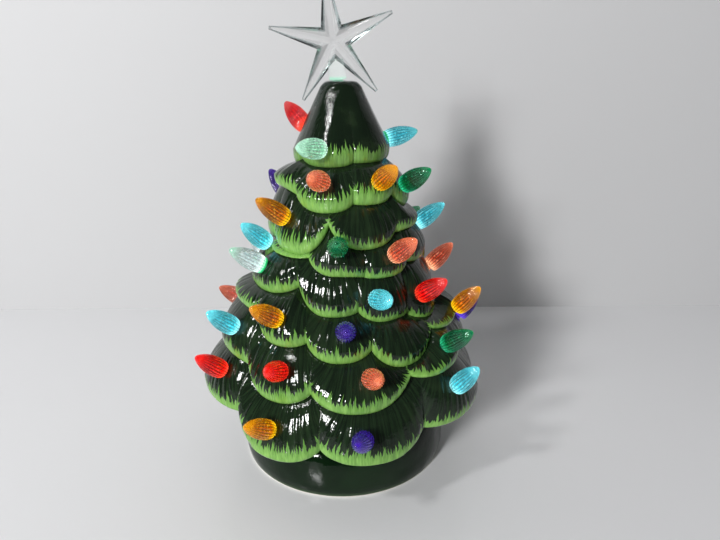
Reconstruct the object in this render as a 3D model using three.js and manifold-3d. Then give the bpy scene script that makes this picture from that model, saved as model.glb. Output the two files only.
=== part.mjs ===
// A lighted ceramic christmas tree: a hollow glazed tree that lifts off a glazed base, plastic
// flame bulbs pushed into holes through its boughs, a clear star in the top, and a battery lamp
// inside that shines out through the bulbs.
// Millimetres, +Z up, origin on the table under the middle of the base. Azimuth 0 is the front
// (-Y), and azimuths grow towards the right (+X).

import * as THREE from 'three';
import { mergeVertices } from 'three/addons/utils/BufferGeometryUtils.js';
import Module from 'manifold-3d';

const wasm = await Module();
wasm.setup();

// Clearances
const gap = 0.3; // between pieces that touch
const pegPlay = 0.3; // round a bulb peg or the star peg in its hole
const slideGap = 0.5; // round the sliding switch knob
const screwPlay = 1.2; // round the screw tip, which swings out with the door

// Ceramic tree
const wall = 4.5; // thickness of the slip-cast ceramic
const capRadius = 9.5; // flat top of the cap
const capHeight = 227; // top of the ceramic above the table
const capRound = 3.5; // height of the rounding of the cap's top edge
const capEdge = 2.4; // how far that rounding stands out from the flat
const capRoof = 7; // ceramic over the hollow at the very top
const lip = 8; // from a bough's hem up to its widest line
const lipTuck = 1.5; // how far the hem lies inside the widest line
const recess = 6; // how far the bough below starts inside the hem
const recessRise = 2.5; // and how far above the hem
const notchDepth = 0.065; // depth of the valley between two boughs, as a share of their reach
const skirt = 4; // flare of the tree's underside outside its seat
const puff = 0.5; // 0 is a straight slope from neck to hem, 1 a quarter ellipse
const scallop = 2.4; // squareness of the hem curve between two notches
const scallopFall = 0.8; // steepness of that curve at the notches
const faceShares = [0, 0.55, 1]; // rows of points down a bough's face
const cutThrough = 1; // how far a cut runs out past what it cuts
const columns = 72; // outer skin, one column each 5 degrees
const hollowColumns = 24; // inner skin

// Boughs by tier, top to bottom: the radius and height of the tier's hem, then its boughs as
// [azimuth of the left notch, hem height and reach against the tier's, rise of that notch]
const tierTable = [
  { reach: 28, hem: 183, boughs: [
    [-60, 0.5, 0, 2], [15, 2.5, 1, 0], [75, 1, 0, 2], [130, 1, 0, 2], [205, -1, 0, 2]] },
  { reach: 38.5, hem: 163, boughs: [
    [-90, 9, 1, 3], [-45, -2, 0, -4], [10, 2, 0.5, 0.5], [50, -3, 1, 4], [95, 0, 0, 2],
    [140, -1, 0, 2], [185, 2, 0, 2], [230, -7, 0, 2]] },
  { reach: 44, hem: 141, boughs: [
    [-65, -2.5, 2, 3], [-10, 1.5, 1, 13], [45, 8.5, 2, -1.5], [80, -7, 1, 3],
    [125, -2, 0, 2], [165, 1, 0, 2], [210, 2, 0, 3], [250, 0, 0, 2]] },
  { reach: 49.5, hem: 129, boughs: [
    [-65, 8, -2.5, -1], [-25, 0.5, 0, 0.5], [15, -1.5, 2, -2], [50, 1, 0.5, 2], [90, -14, 4, 2],
    [130, -3, 0, 2], [170, 0, 0, 2], [215, 0, 0, 2], [255, -9, 2, 2]] },
  { reach: 54.5, hem: 105, boughs: [
    [-85, 11.5, 2, 2], [-30, 2, -2.5, 5.5], [10, -1.5, 0.5, 1.5], [45, -6.5, 5.5, -1.5],
    [75, 0.5, 0, 3], [110, 0, 0, 2], [145, 3, 0, 2], [185, 5, 0, 2], [230, 3, 0, 2]] },
  { reach: 65.5, hem: 90, boughs: [
    [-90, 17, 0, 2], [-50, 2.5, 0.5, -2.5], [-20, -4.5, -1.5, 2], [15, -9, 3, 5],
    [50, 2, 4.5, 4], [100, 2, 0, 2], [140, -2, 0, 2], [180, 1, 0, 2], [225, -10, 0, 2]] },
  { reach: 75, hem: 66, boughs: [
    [-85, 14, 1, 2], [-50, -2.5, 0, -4.5], [-15, -3.5, 2, 6.5], [30, 10, 4.5, 1.5],
    [65, 6, 0.5, 2], [105, 0, 0, 2], [150, -3, 0, 2], [195, 3, 0, 2], [240, 6, 0, 2]] },
  { reach: 84.5, hem: 38, boughs: [
    [-95, 13, 3, 2], [-50, -4.5, -0.5, -2], [-10, -4, -2, 6.5], [35, 8, 3.5, -1],
    [80, 4, 0, 2], [120, 0, 0, 2], [155, -2, 0, 2], [195, 2, 0, 2], [230, 7, 0, 2]] },
];
const tiers = tierTable.map(({ reach, hem, boughs }) => ({
  boughs: boughs.map(([start, drop, stretch, cleft]) => (
    { start, hem: hem + drop, reach: reach + stretch, cleft })),
}));

// Base
const footRadius = 64; // outer edge of the bare foot ring
const footWidth = 4.5; // flat width of the foot ring
const baseHeight = 30; // table to the flat that the tree stands on
const baseBulge = 0.8; // the wall's swell just above the foot
const footRise = 5.4; // height of that swell
const seatRadius = 54; // outer edge of that flat
const seatWidth = 7; // width of the ring on which the tree stands
const spigotHeight = 5; // ring that centres the tree
const mouthRadius = 36; // opening in the top of the base
const baseColumns = 40;
const baseSteps = 4; // rows of points up the wall

// Bulbs
const bulbDiameter = 12;
const bulbLength = 21; // shoulder to tip
const pegRadius = 2;
const pegLength = 9;
const bulbLift = 1; // shoulder above the glaze, along the bulb
const shoulderRadius = 4.9;
const shoulderRise = 1.3;
const bulbWidest = 7; // shoulder to the widest line
const bulbCurve = [[0.92, 0.55], [0.63, 0.8], [0.25, 0.96]]; // shares of radius and of length
const bulbSides = 8;
const holeSides = 6;

// Bulbs by tier as [azimuth, share of the way from neck to widest line, heading, tilt, colour]
const bulbTable = [
  [[-117, 0.68, -132, 39, 'red'], [-22, 0.94, -35, 9, 'mint'], [114, 0.95, 105, 12, 'aqua'],
    [165, 0.8, 165, 24, 'amber']],
  [[-17, 0.62, -17, 18, 'coral'], [31, 0.82, 25, 32, 'amber'], [62, 0.88, 47, 32, 'green'],
    [165, 0.7, 165, 28, 'red']],
  [[-125, 0.6, -116, 50, 'purple'], [-45, 0.67, -63, 38, 'amber'], [98, 0.96, 94, 36, 'aqua'],
    [146, 0.7, 146, 28, 'purple'], [-165, 0.7, -165, 30, 'green']],
  [[-68, 0.77, -57, 42, 'aqua'], [-3, 0.54, -2, 24, 'green'], [33, 0.75, 38, 38, 'coral'],
    [128, 0.7, 128, 28, 'green'], [170, 0.7, 170, 28, 'aqua']],
  [[-113, 0.8, -143, 30, 'clear'], [-56, 0.69, -70, 33, 'clear'], [19, 0.74, 19, 17, 'aqua'],
    [50, 0.82, 50, 38, 'red'], [95, 0.8, 109, 40, 'coral'], [-165, 0.7, -165, 30, 'coral']],
  [[-107, 1, -108, 21, 'coral'], [-33, 0.75, -48, 35, 'amber'], [1, 0.54, 1, 24, 'purple'],
    [73, 0.97, 58, 50, 'amber'], [160, 0.7, 160, 30, 'clear'], [-155, 0.7, -155, 28, 'red']],
  [[-58, 0.67, -55, 41, 'aqua'], [-28, 0.63, -18, 27, 'red'], [11, 0.56, 12, 24, 'coral'],
    [49, 0.63, 48, 38, 'green'], [95, 0.92, 112, 46, 'purple'], [172, 0.7, 172, 30, 'amber'],
    [-122, 0.7, -122, 30, 'green']],
  [[-59, 0.56, -52, 42, 'red'], [-29, 0.68, -41, 33, 'amber'], [8, 0.71, -16, 27, 'purple'],
    [48, 0.6, 53, 52, 'aqua'], [134, 0.72, 134, 28, 'coral'], [176, 0.72, 176, 34, 'green'],
    [-144, 0.72, -144, 28, 'amber']],
];

// Star
const starRise = 20.2; // middle of the star above the cap
const starOffset = -1.5; // its hole lies a little left of the cap's middle
const starReach = 35; // middle to tip
const starWaist = 9.5; // middle to the inner corners
const starLean = 6.8; // degrees, the star sits a little crooked, towards -X
const starRidge = 5; // half thickness in the middle
const starEdge = 1.1; // half thickness round the rim
const stemRadius = 4.8;
const stemFootRadius = 4; // where it meets the cap
const stemFootRise = 2;
const starPegRadius = 3;
const starPegLength = 12;
const stemSides = 16;

// Battery tray, lamp and switch in the base
const plateLift = 3; // underside of the plate above the table
const plateThickness = 2.5;
const cellDiameter = 14.2;
const cellLength = 50.5;
const cellGap = 0.8; // between two cells
const cellCount = 3;
const nubRadius = 2.75;
const nubLength = 1.2;
const contactThickness = 0.8;
const contactBump = 1.4;
const contactHalfHeight = 5;
const contactEnd = 1; // strip's end to the tray's wall
const bumpSides = 8;
const cellRound = 0.5; // bevel of a cell's ends
const cellSides = 16;
const trayWall = 2;
const ledge = 1; // tray wall over the door's edge
const screwRadius = 1.4;
const screwHeadRadius = 2.6;
const screwHead = 1.2;
const screwTip = 3; // beyond the door, in its boss
const screwSlot = 0.7; // width of the slot in its head
const tongueRoot = 2; // how far the tongue runs back into the door
const tongueHalf = 5; // half width of the door's tongue
const latchReach = 7; // from the tray to the screw's line
const switchLength = 9;
const switchWidth = 5;
const switchTravel = 4;
const switchProud = 1.6; // knob below the plate
const switchFlange = 1.2;
const flangeX = 2.5; // flange beyond the knob, along the slide
const flangeY = 1.5; // and across it
const gripPitch = 2.4; // grooves across the grip
const gripGroove = 1;
const gripDepth = 0.6;
const lampRadius = 18;
const lampHeight = 11;
const boardThickness = 1.6;
const boardRecess = 2.4;
const ledRadius = 4;
const ledHeight = 8;
const diffuserRadius = 16;
const diffuserWall = 1.6;
const diffuserHeight = 24;
const roundSides = 24;
const ledSides = 12;
const ledSteps = 3;
const domeSteps = 4;

const degrees = Math.PI / 180;

// Solids

// A solid from any closed three.js geometry: shared corners merged, empty triangles left out
function solid(geometry) {
  const bare = new THREE.BufferGeometry();
  bare.setAttribute('position', geometry.getAttribute('position').clone());
  bare.setIndex(geometry.index ? geometry.index.clone() : null);
  const merged = mergeVertices(bare, 1e-4);
  const corners = merged.index.array;
  const kept = [];
  for (let i = 0; i < corners.length; i += 3) {
    const [a, b, c] = [corners[i], corners[i + 1], corners[i + 2]];
    if (a !== b && b !== c && c !== a) kept.push(a, b, c);
  }
  return new wasm.Manifold(new wasm.Mesh({
    numProp: 3,
    vertProperties: new Float32Array(merged.getAttribute('position').array),
    triVerts: new Uint32Array(kept),
  }));
}

function toGeometry(manifold) {
  const mesh = manifold.getMesh();
  const geometry = new THREE.BufferGeometry();
  geometry.setAttribute('position', new THREE.BufferAttribute(mesh.vertProperties, 3));
  geometry.setIndex(new THREE.BufferAttribute(mesh.triVerts, 1));
  geometry.computeVertexNormals();
  return geometry;
}

// A turned geometry about Z from [radius, height] pairs, listed from the bottom up on the outside
function turned(pairs, sides) {
  const points = pairs.map(([radius, height]) => new THREE.Vector2(radius, height));
  return new THREE.LatheGeometry(points, sides).rotateX(Math.PI / 2);
}

// An upright block between two corners
function block([x0, y0, z0], [x1, y1, z1]) {
  const box = new THREE.BoxGeometry(x1 - x0, y1 - y0, z1 - z0);
  return box.translate((x0 + x1) / 2, (y0 + y1) / 2, (z0 + z1) / 2);
}

function rod(radius, bottom, top, sides, x = 0, y = 0) {
  const pairs = [[0, bottom], [radius, bottom], [radius, top], [0, top]];
  return turned(pairs, sides).translate(x, y, 0);
}

// Boughs

// Hem height and reach of a tier at an azimuth
function hemAt(tier, azimuth) {
  const { boughs } = tier;
  const first = boughs[0].start;
  const here = first + ((((azimuth - first) % 360) + 360) % 360);
  let i = boughs.length - 1;
  while (boughs[i].start > here + 1e-6) i -= 1;
  const bough = boughs[i];
  const after = boughs[(i + 1) % boughs.length];
  const before = boughs[(i + boughs.length - 1) % boughs.length];
  const end = i + 1 < boughs.length ? after.start : first + 360;
  const middle = (bough.start + end) / 2;
  const [beside, cleft] = here < middle ? [before, bough.cleft] : [after, after.cleft];
  const across = Math.min(1, Math.abs(here - middle) / ((end - bough.start) / 2));
  const bow = (1 - across ** scallop) ** scallopFall;
  const notchHem = Math.max(bough.hem, beside.hem) + cleft;
  const notchReach = Math.min(bough.reach, beside.reach) * (1 - notchDepth);
  return {
    hem: notchHem + (bough.hem - notchHem) * bow,
    reach: notchReach + (bough.reach - notchReach) * bow,
  };
}

// Where the tier below starts: just inside and above a hem, or at the cap's edge
function neckAt(index, azimuth) {
  if (index === 0) return { radius: capRadius + capEdge, height: capHeight - capRound };
  const { hem, reach } = hemAt(tiers[index - 1], azimuth);
  return { radius: reach - lipTuck - recess, height: hem + recessRise };
}

// A point of a bough's face: share 0 is its neck, 1 its widest line
function faceAt(index, azimuth, share) {
  const neck = neckAt(index, azimuth);
  const { hem, reach } = hemAt(tiers[index], azimuth);
  const room = index === 0 ? capHeight - hem : hemAt(tiers[index - 1], azimuth).hem - hem;
  const nose = hem + Math.min(lip, room / 2);
  const swell = index === 0 ? 0 : puff;
  const angle = share * 90 * degrees;
  const out = (1 - swell) * share + swell * Math.sin(angle);
  const down = (1 - swell) * share + swell * (1 - Math.cos(angle));
  return {
    radius: neck.radius + (reach - neck.radius) * out,
    height: neck.height - (neck.height - nose) * down,
  };
}

// A closed skin from rows of {radius, height} at each azimuth, lowest row first
function skin(rows, count) {
  const profile = rows.map((row, i) => new THREE.Vector2(1, i));
  const geometry = new THREE.LatheGeometry(profile, count);
  const position = geometry.getAttribute('position');
  for (let column = 0; column <= count; column += 1) {
    const azimuth = ((column % count) * 360) / count;
    rows.forEach((row, i) => {
      const { radius, height } = row(azimuth);
      const x = radius * Math.sin(azimuth * degrees);
      const y = -radius * Math.cos(azimuth * degrees);
      position.setXYZ(column * rows.length + i, x, y, height);
    });
  }
  return geometry;
}

const last = tiers.length - 1;
const seatHeight = baseHeight + gap;
const treeMouth = seatRadius - seatWidth; // radius of the tree's open bottom

function treeSkin() {
  const rows = [() => ({ radius: 0, height: capHeight }),
    () => ({ radius: capRadius, height: capHeight })];
  tiers.forEach((tier, index) => {
    faceShares.forEach((share) => rows.push((azimuth) => faceAt(index, azimuth, share)));
    rows.push((azimuth) => {
      const { hem, reach } = hemAt(tier, azimuth);
      return { radius: reach - lipTuck, height: hem };
    });
  });
  rows.push((azimuth) => neckAt(last + 1, azimuth));
  rows.push(() => ({ radius: seatRadius + skirt, height: seatHeight + wall }));
  rows.push(() => ({ radius: seatRadius, height: seatHeight }));
  rows.push(() => ({ radius: 0, height: seatHeight }));
  return skin(rows.reverse(), columns);
}

// The hollow follows the boughs a wall's thickness inside them
function treeHollow() {
  const step = 360 / columns;
  const inside = (point, azimuth, inset, drop) => {
    const radii = [-step, 0, step].map((turn) => point(azimuth + turn).radius);
    return { radius: Math.min(...radii) - inset, height: point(azimuth).height - drop };
  };
  const rows = [() => ({ radius: 0, height: capHeight - capRoof }),
    () => ({ radius: capRadius - wall, height: capHeight - capRoof })];
  tiers.forEach((tier, index) => {
    rows.push((azimuth) => inside((a) => faceAt(index, a, 1), azimuth, wall, 0));
    rows.push((azimuth) => inside((a) => neckAt(index + 1, a), azimuth, wall,
      index === last ? -wall : 0));
  });
  rows.push(() => ({ radius: treeMouth, height: seatHeight + wall * 2 }));
  rows.push(() => ({ radius: treeMouth, height: seatHeight - cutThrough }));
  rows.push(() => ({ radius: 0, height: seatHeight - cutThrough }));
  return skin(rows.reverse(), hollowColumns);
}

// Bulbs

const up = new THREE.Vector3(0, 0, 1);
const bulbRadius = bulbDiameter / 2;

function bulbProfile() {
  const taper = bulbCurve.map(([width, along]) => [bulbRadius * width, bulbLength * along]);
  return [[0, -pegLength], [pegRadius, -pegLength], [pegRadius, 0],
    [shoulderRadius, shoulderRise], [bulbRadius, bulbWidest], ...taper, [0, bulbLength]];
}

// Where each bulb sits and which way it points
const bulbs = bulbTable.flatMap((row, index) => row.map(([azimuth, share, heading, tilt, colour], i) => {
  const { radius, height } = faceAt(index, azimuth, share);
  const axis = new THREE.Vector3(
    Math.sin(heading * degrees) * Math.cos(tilt * degrees),
    -Math.cos(heading * degrees) * Math.cos(tilt * degrees),
    Math.sin(tilt * degrees),
  );
  const seat = new THREE.Vector3(
    radius * Math.sin(azimuth * degrees),
    -radius * Math.cos(azimuth * degrees),
    height,
  ).addScaledVector(axis, bulbLift);
  const facing = new THREE.Quaternion().setFromUnitVectors(up, axis);
  return { name: `bulb_${index + 1}${'abcdefgh'[i]}_${colour}`, seat, facing, colour };
}));

// The drill for a bulb: its peg with play all round, run out through the wall
function bulbDrill() {
  const across = (pegRadius + pegPlay) / Math.cos(Math.PI / holeSides);
  return rod(across, -3 * wall - pegLength, bulbRadius, holeSides);
}

function placed(geometry, { seat, facing }) {
  return geometry.clone().applyQuaternion(facing).translate(seat.x, seat.y, seat.z);
}

function treeShell() {
  const hole = rod(starPegRadius + pegPlay, capHeight - 2 * capRoof, capHeight + cutThrough,
    stemSides, starOffset);
  let shell = solid(treeSkin()).subtract(solid(treeHollow())).subtract(solid(hole));
  const drill = bulbDrill();
  bulbs.forEach((bulb) => { shell = shell.subtract(solid(placed(drill, bulb))); });
  return toGeometry(shell);
}

// Star: ten facets front and back from the middle ridge to a thin rim, on a round stem and peg
function starGeometry() {
  const corners = [[0, -starRidge, 0], [0, starRidge, 0]];
  const faces = [];
  for (let i = 0; i < 10; i += 1) {
    const reach = i % 2 === 0 ? starReach : starWaist;
    const angle = (90 + i * 36) * degrees;
    const [x, z] = [reach * Math.cos(angle), reach * Math.sin(angle)];
    corners.push([x, -starEdge, z], [x, starEdge, z]);
    const [front, back] = [2 + 2 * i, 3 + 2 * i];
    const [nextFront, nextBack] = [2 + 2 * ((i + 1) % 10), 3 + 2 * ((i + 1) % 10)];
    faces.push(0, front, nextFront, 1, nextBack, back);
    faces.push(front, nextBack, nextFront, front, back, nextBack);
  }
  const facets = new THREE.BufferGeometry();
  facets.setAttribute('position', new THREE.Float32BufferAttribute(corners.flat(), 3));
  facets.setIndex(faces);
  facets.translate(0, 0, starRise);
  const stem = turned([[0, gap * 2], [stemFootRadius, gap * 2], [stemRadius, gap + stemFootRise],
    [stemRadius, starRise - starWaist], [0, starRise - starWaist / 2]], stemSides);
  const peg = rod(starPegRadius, gap - starPegLength, gap * 3, stemSides);
  const leaning = [facets, stem].map((piece) => piece.rotateY(-starLean * degrees));
  const star = solid(leaning[0]).add(solid(leaning[1])).add(solid(peg));
  return toGeometry(star.translate([starOffset, 0, capHeight]));
}

// Base

const plateTop = plateLift + plateThickness;
const footInner = footRadius - footWidth; // inner edge of the foot ring

// A plain dome on a foot ring, stepped inside for the plate and open in the middle of its top
function baseProfile() {
  const side = [];
  for (let i = 0; i <= baseSteps; i += 1) {
    const angle = (i / baseSteps) * 90 * degrees;
    side.push([
      seatRadius + (footRadius + baseBulge - seatRadius) * Math.cos(angle),
      footRise + (baseHeight - footRise) * Math.sin(angle),
    ]);
  }
  const spigot = treeMouth * Math.cos(Math.PI / hollowColumns) - gap;
  const innerTop = baseHeight - wall;
  return [[footInner, 0], [footRadius, 0], ...side,
    [spigot, baseHeight], [spigot, baseHeight + spigotHeight],
    [spigot - wall, baseHeight + spigotHeight], [mouthRadius, baseHeight],
    [mouthRadius, innerTop], [seatRadius - wall, innerTop], [footInner - wall, baseHeight / 3],
    [footInner - wall, plateTop + gap], [footInner, plateTop + gap], [footInner, 0]];
}

function baseShell() {
  return toGeometry(solid(turned(baseProfile(), baseColumns)));
}

// Battery tray: the cells lie along X, side by side along Y
const plateRadius = footInner - gap;
const trayX = cellLength / 2 + contactThickness + contactBump / 2 + gap;
const trayY = (cellCount * cellDiameter + (cellCount - 1) * cellGap) / 2 + 2 * gap;
const cellAxis = plateTop + gap + cellDiameter / 2;
const trayRoof = cellAxis + cellDiameter / 2 + gap;
const trayTop = trayRoof + trayWall;
const doorX = trayX + ledge;
const doorY = trayY + ledge;
const screwX = trayX + latchReach;
const tongueX = screwX + tongueHalf;
const switchY = -(trayY + trayWall + switchWidth);

function basePlate() {
  let plate = solid(rod(plateRadius, plateLift, plateTop, baseColumns));
  plate = plate.add(solid(block([-trayX - trayWall, -trayY - trayWall, plateLift],
    [trayX + trayWall, trayY + trayWall, trayTop])));
  plate = plate.add(solid(block([trayX, -tongueHalf - trayWall, plateTop - gap],
    [tongueX + trayWall, tongueHalf + trayWall, plateTop + screwTip + trayWall])));
  const under = plateLift - cutThrough;
  plate = plate.subtract(solid(block([-trayX, -trayY, under], [trayX, trayY, trayRoof])));
  plate = plate.subtract(solid(block([-doorX, -doorY, under], [doorX, doorY, plateTop])));
  plate = plate.subtract(solid(block([0, -tongueHalf - gap, under],
    [tongueX + gap, tongueHalf + gap, plateTop])));
  plate = plate.subtract(solid(rod(screwRadius + screwPlay, plateTop - cutThrough,
    plateTop + screwTip + gap, roundSides, screwX)));
  const [slotX, slotY] = [(switchLength + switchTravel) / 2 + slideGap, switchWidth / 2 + slideGap];
  plate = plate.subtract(solid(block([-slotX, switchY - slotY, under],
    [slotX, switchY + slotY, plateTop + cutThrough])));
  return toGeometry(plate);
}

// The door hooks in at its -X edge, and a captive screw through its tongue holds it shut
const doorHinge = -doorX + gap;

function batteryDoor() {
  let door = solid(block([doorHinge, -doorY + gap, plateLift],
    [doorX - gap, doorY - gap, plateTop - gap]));
  door = door.add(solid(block([doorX - tongueRoot, -tongueHalf, plateLift],
    [tongueX, tongueHalf, plateTop - gap])));
  door = door.subtract(solid(rod(screwRadius + gap, plateLift - cutThrough,
    plateTop + cutThrough, roundSides, screwX)));
  door = door.subtract(solid(rod(screwHeadRadius + gap, plateLift - cutThrough,
    plateLift + screwHead, roundSides, screwX)));
  return toGeometry(door);
}

function doorScrew() {
  const top = plateTop + screwTip;
  const screw = solid(turned([[0, plateLift], [screwHeadRadius, plateLift],
    [screwHeadRadius, plateLift + screwHead - gap], [screwRadius, plateLift + screwHead - gap],
    [screwRadius, top - screwRadius], [0, top]], roundSides).translate(screwX, 0, 0));
  const slotX = screwHeadRadius + cutThrough;
  const slot = block([screwX - slotX, -screwSlot / 2, plateLift - cutThrough],
    [screwX + slotX, screwSlot / 2, plateLift + screwHead / 2]);
  return toGeometry(screw.subtract(solid(slot)));
}

// A cell along X with its nub towards +X or -X
function cell(index, towards) {
  const radius = cellDiameter / 2;
  const can = cellLength - nubLength;
  const profile = [[0, 0], [radius - cellRound, 0], [radius, cellRound],
    [radius, can - cellRound], [radius - cellRound, can], [nubRadius, can],
    [nubRadius, cellLength], [0, cellLength]];
  const y = (index - (cellCount - 1) / 2) * (cellDiameter + cellGap);
  return turned(profile, cellSides).translate(0, 0, -cellLength / 2)
    .rotateY(towards * Math.PI / 2).translate(0, y, cellAxis);
}

// A sprung contact strip across one end of the tray, with a bump at each cell
function contactStrip(side) {
  const outer = trayX - gap / 2;
  const inner = outer - contactThickness;
  const ends = [side * inner, side * outer].sort((a, b) => a - b);
  const halfWidth = trayY - contactEnd;
  let strip = solid(block([ends[0], -halfWidth, cellAxis - contactHalfHeight],
    [ends[1], halfWidth, cellAxis + contactHalfHeight]));
  for (let i = 0; i < cellCount; i += 1) {
    const y = (i - (cellCount - 1) / 2) * (cellDiameter + cellGap);
    const bump = new THREE.CylinderGeometry(nubRadius / 2, nubRadius,
      contactBump / 2 + contactThickness / 2, bumpSides).rotateZ(side * Math.PI / 2)
      .translate(side * (inner - contactBump / 4 + contactThickness / 4), y, cellAxis);
    strip = strip.add(solid(bump));
  }
  return toGeometry(strip);
}

// Switch knob: a flange above the plate, a neck through the slot and a grip below
function switchSlider() {
  const [x, y] = [switchLength / 2, switchWidth / 2];
  const grip = solid(block([-x, switchY - y, plateLift - switchProud],
    [x, switchY + y, plateTop + gap + switchFlange]));
  const flange = solid(block([-x - flangeX, switchY - y - flangeY, plateTop + gap],
    [x + flangeX, switchY + y + flangeY, plateTop + gap + switchFlange]));
  let knob = grip.add(flange);
  for (let i = -1; i <= 1; i += 1) {
    const [middle, under] = [i * gripPitch, plateLift - switchProud];
    const groove = block(
      [middle - gripGroove / 2, switchY - y - cutThrough, under - cutThrough],
      [middle + gripGroove / 2, switchY + y + cutThrough, under + gripDepth],
    );
    knob = knob.subtract(solid(groove));
  }
  return toGeometry(knob.translate([-switchTravel / 2, 0, 0]));
}

// Lamp on top of the tray: a cup, the board in it, one dome of light and a frosted cover
const lampBottom = trayTop + gap;
const lampTop = lampBottom + lampHeight;
const boardTop = lampTop - boardRecess + gap + boardThickness;

function lampPost() {
  return toGeometry(solid(turned([[0, lampBottom], [lampRadius, lampBottom],
    [lampRadius, lampTop], [lampRadius - trayWall, lampTop],
    [lampRadius - trayWall, lampTop - boardRecess], [0, lampTop - boardRecess]], roundSides)));
}

function ledBoard() {
  return toGeometry(solid(rod(lampRadius - trayWall - gap, boardTop - boardThickness, boardTop,
    roundSides)));
}

function ledLamp() {
  const bottom = boardTop + gap;
  const pairs = [[0, bottom], [ledRadius, bottom]];
  for (let i = 0; i < ledSteps; i += 1) {
    const angle = (i / ledSteps) * 90 * degrees;
    pairs.push([ledRadius * Math.cos(angle), bottom + ledHeight - ledRadius
      + ledRadius * Math.sin(angle)]);
  }
  pairs.push([0, bottom + ledHeight]);
  return toGeometry(solid(turned(pairs, ledSides)));
}

function lampDiffuser() {
  const bottom = Math.max(boardTop, lampTop) + gap;
  const dome = (radius, height) => {
    const pairs = [];
    for (let i = 1; i < domeSteps; i += 1) {
      const angle = (i / domeSteps) * 90 * degrees;
      pairs.push([radius * Math.cos(angle), height - radius + radius * Math.sin(angle)]);
    }
    return pairs;
  };
  const inner = diffuserRadius - diffuserWall;
  return toGeometry(solid(turned([[inner, bottom], [diffuserRadius, bottom],
    ...dome(diffuserRadius, bottom + diffuserHeight), [0, bottom + diffuserHeight],
    [0, bottom + diffuserHeight - diffuserWall],
    ...dome(inner, bottom + diffuserHeight - diffuserWall).reverse(), [inner, bottom]],
  roundSides)));
}

// Materials

const finish = (color, roughness, metalness = 0, opacity = 1) => new THREE.MeshStandardMaterial({
  color, roughness, metalness, opacity, transparent: opacity < 1,
});
const glaze = finish(0x1d3a24, 0.08);
const clearPlastic = finish(0xe8f0ee, 0.05, 0, 0.45);
const blackPlastic = finish(0x1c1d1e, 0.45);
const whitePlastic = finish(0xe6e4dc, 0.5);
const frosted = finish(0xf2f2ee, 0.6, 0, 0.7);
const steel = finish(0xa9adb0, 0.3, 1);
const wrap = finish(0x3f4a58, 0.35, 0.3);
const board = finish(0xdfe3df, 0.5);
const bulbColours = {
  red: 0xd4141a, amber: 0xf08c0a, aqua: 0x54c4d2, green: 0x028a52, purple: 0x4c2aa0,
  coral: 0xe8674c, clear: 0xcfe3e0, mint: 0x9fe0bc,
};

// Assembly

const group = new THREE.Group();

function addPiece(name, geometry, material) {
  const mesh = new THREE.Mesh(geometry, material);
  mesh.name = name;
  group.add(mesh);
  return mesh;
}

addPiece('tree_shell', treeShell(), glaze);
addPiece('star_topper', starGeometry(), clearPlastic);
addPiece('base_shell', baseShell(), glaze);
addPiece('base_plate', basePlate(), blackPlastic);
addPiece('battery_door', batteryDoor(), blackPlastic);
addPiece('door_screw', doorScrew(), steel);
addPiece('switch_slider', switchSlider(), whitePlastic);
for (let i = 0; i < cellCount; i += 1) {
  addPiece(`battery_${i + 1}`, cell(i, i % 2 === 0 ? 1 : -1), wrap);
}
addPiece('contact_left', contactStrip(-1), steel);
addPiece('contact_right', contactStrip(1), steel);
addPiece('lamp_post', lampPost(), whitePlastic);
addPiece('led_board', ledBoard(), board);
addPiece('led_lamp', ledLamp(), whitePlastic);
addPiece('lamp_diffuser', lampDiffuser(), frosted);

const bulbGeometry = turned(bulbProfile(), bulbSides);
const bulbMaterials = Object.fromEntries(
  Object.entries(bulbColours).map(([name, color]) => [name, finish(color, 0.08, 0, 0.85)]),
);
bulbs.forEach((bulb) => {
  const mesh = addPiece(bulb.name, bulbGeometry, bulbMaterials[bulb.colour]);
  mesh.position.copy(bulb.seat);
  mesh.quaternion.copy(bulb.facing);
});

export default group;
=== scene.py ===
import math

import bmesh
import bpy
import numpy as np
from mathutils import Matrix, Vector


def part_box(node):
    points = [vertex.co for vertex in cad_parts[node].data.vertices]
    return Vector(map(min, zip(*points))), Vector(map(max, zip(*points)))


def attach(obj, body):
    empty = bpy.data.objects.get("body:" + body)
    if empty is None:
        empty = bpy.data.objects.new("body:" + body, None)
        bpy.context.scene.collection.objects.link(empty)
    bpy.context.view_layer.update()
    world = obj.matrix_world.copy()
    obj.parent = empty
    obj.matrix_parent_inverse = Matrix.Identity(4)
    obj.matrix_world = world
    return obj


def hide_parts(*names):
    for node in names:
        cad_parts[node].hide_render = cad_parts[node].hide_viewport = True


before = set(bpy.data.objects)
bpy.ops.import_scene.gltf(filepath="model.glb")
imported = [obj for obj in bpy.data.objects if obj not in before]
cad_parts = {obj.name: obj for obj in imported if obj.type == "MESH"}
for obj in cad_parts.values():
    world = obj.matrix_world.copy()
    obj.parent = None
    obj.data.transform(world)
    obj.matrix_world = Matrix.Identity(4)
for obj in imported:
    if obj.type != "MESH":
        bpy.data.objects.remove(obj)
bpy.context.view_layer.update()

# A glazed ceramic tree with push-in bulbs and a clear star, on a glazed base with a lamp inside.
# Sizes below are in millimetres and become metres where a mesh is made. Azimuth 0 is the front
# (-Y), and azimuths grow towards +X.

MM = 0.001
rng = np.random.default_rng(11)

# Tree, the same sizes as the solids
WALL = 4.5
CAP_RADIUS = 9.5
CAP_HEIGHT = 227.0
CAP_ROUND = 3.5
CAP_EDGE = 2.4
CAP_ROOF = 7.0
LIP = 8.0
LIP_TUCK = 1.5
HEM_INSET = 1.3
RECESS = 6.0
RECESS_RISE = 2.5
NOTCH_DEPTH = 0.065
SKIRT = 4.0
PUFF = 0.5
SCALLOP = 2.4
SEAT_HEIGHT = 30.3
SEAT_RADIUS = 54.0
TREE_MOUTH = 47.0
STAR_HOLE = 3.3
STAR_OFFSET = -1.5
COLUMNS = 900
WANDER = 0.12
WANDER_INSET = 0.30

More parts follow.
